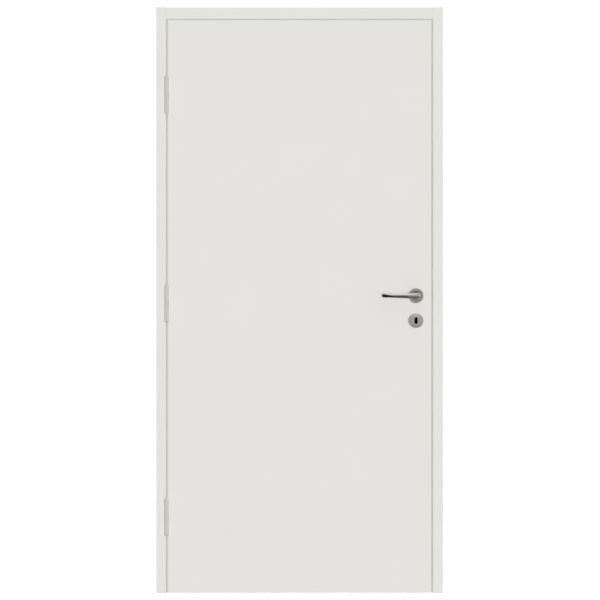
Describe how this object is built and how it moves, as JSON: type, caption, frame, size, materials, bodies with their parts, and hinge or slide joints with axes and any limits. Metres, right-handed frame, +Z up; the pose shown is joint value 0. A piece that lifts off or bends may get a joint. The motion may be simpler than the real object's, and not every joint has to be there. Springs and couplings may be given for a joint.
{
  "type": "prehung interior door",
  "caption": "Plain white flush interior door hung level with the front of its frame on lift-off hinges, with a return lever handle, round roses and a mortice lock.",
  "frame": {"origin": "on the hinge jamb's flat wall side, midway through the frame's depth, at the datum line 1 m above the finished floor", "axes": "+X across the doorway from the hinges to the latch, +Y from the front, towards which the leaf opens, to the back, +Z up"},
  "size_m": [1.013, 0.161, 2.069],
  "materials": {
    "frame_paint": "satin white lacquer on timber",
    "leaf_paint": "satin white lacquer on fibreboard",
    "timber": "planed softwood",
    "chipboard": "raw chipboard",
    "hinge_metal": "light grey satin",
    "washer_metal": "plain",
    "lever_metal": "satin stainless",
    "lock_steel": "brushed",
    "seal_rubber": "matt light grey"
  },
  "bodies": {
    "frame": {"hinge_jamb": "frame_paint", "latch_jamb": "frame_paint", "head_jamb": "frame_paint", "hinge_stop": "frame_paint", "latch_stop": "frame_paint", "head_stop": "frame_paint", "hinge_seal": "seal_rubber", "latch_seal": "seal_rubber", "head_seal": "seal_rubber", "strike_plate": "lock_steel", "bottom_hinge_frame_half": "hinge_metal", "bottom_hinge_washer": "washer_metal", "middle_hinge_frame_half": "hinge_metal", "middle_hinge_washer": "washer_metal", "top_hinge_frame_half": "hinge_metal", "top_hinge_washer": "washer_metal"},
    "leaf": {"leaf_core": "chipboard", "hinge_stile": "timber", "latch_stile": "timber", "top_rail": "timber", "bottom_rail": "timber", "lock_block": "timber", "front_skin": "leaf_paint", "back_skin": "leaf_paint", "bottom_hinge_leaf_half": "hinge_metal", "middle_hinge_leaf_half": "hinge_metal", "top_hinge_leaf_half": "hinge_metal", "lock_forend": "lock_steel", "lock_case": "lock_steel", "latch_bolt": "lock_steel", "dead_bolt": "lock_steel", "front_lever_rose": "lever_metal", "front_key_rose": "lever_metal", "back_lever_rose": "lever_metal", "back_key_rose": "lever_metal"},
    "lever_set": {"front_lever": "lever_metal", "back_lever": "lever_metal", "lock_follower": "lock_steel", "spindle": "lock_steel"}
  },
  "joints": [
    {"name": "door_swing", "type": "hinge", "parent": "frame", "child": "leaf", "pos_m": [0.03825, -0.0585, 0], "axis": [0, 0, -1], "range_deg": [0, 170]},
    {"name": "lever_turn", "type": "hinge", "parent": "leaf", "child": "lever_set", "pos_m": [0.9165, -0.05, 0.051], "axis": [0, -1, 0], "range_deg": [0, 40], "stiffness_Nm_per_rad": 2, "springref_deg": -22.92}
  ]
}
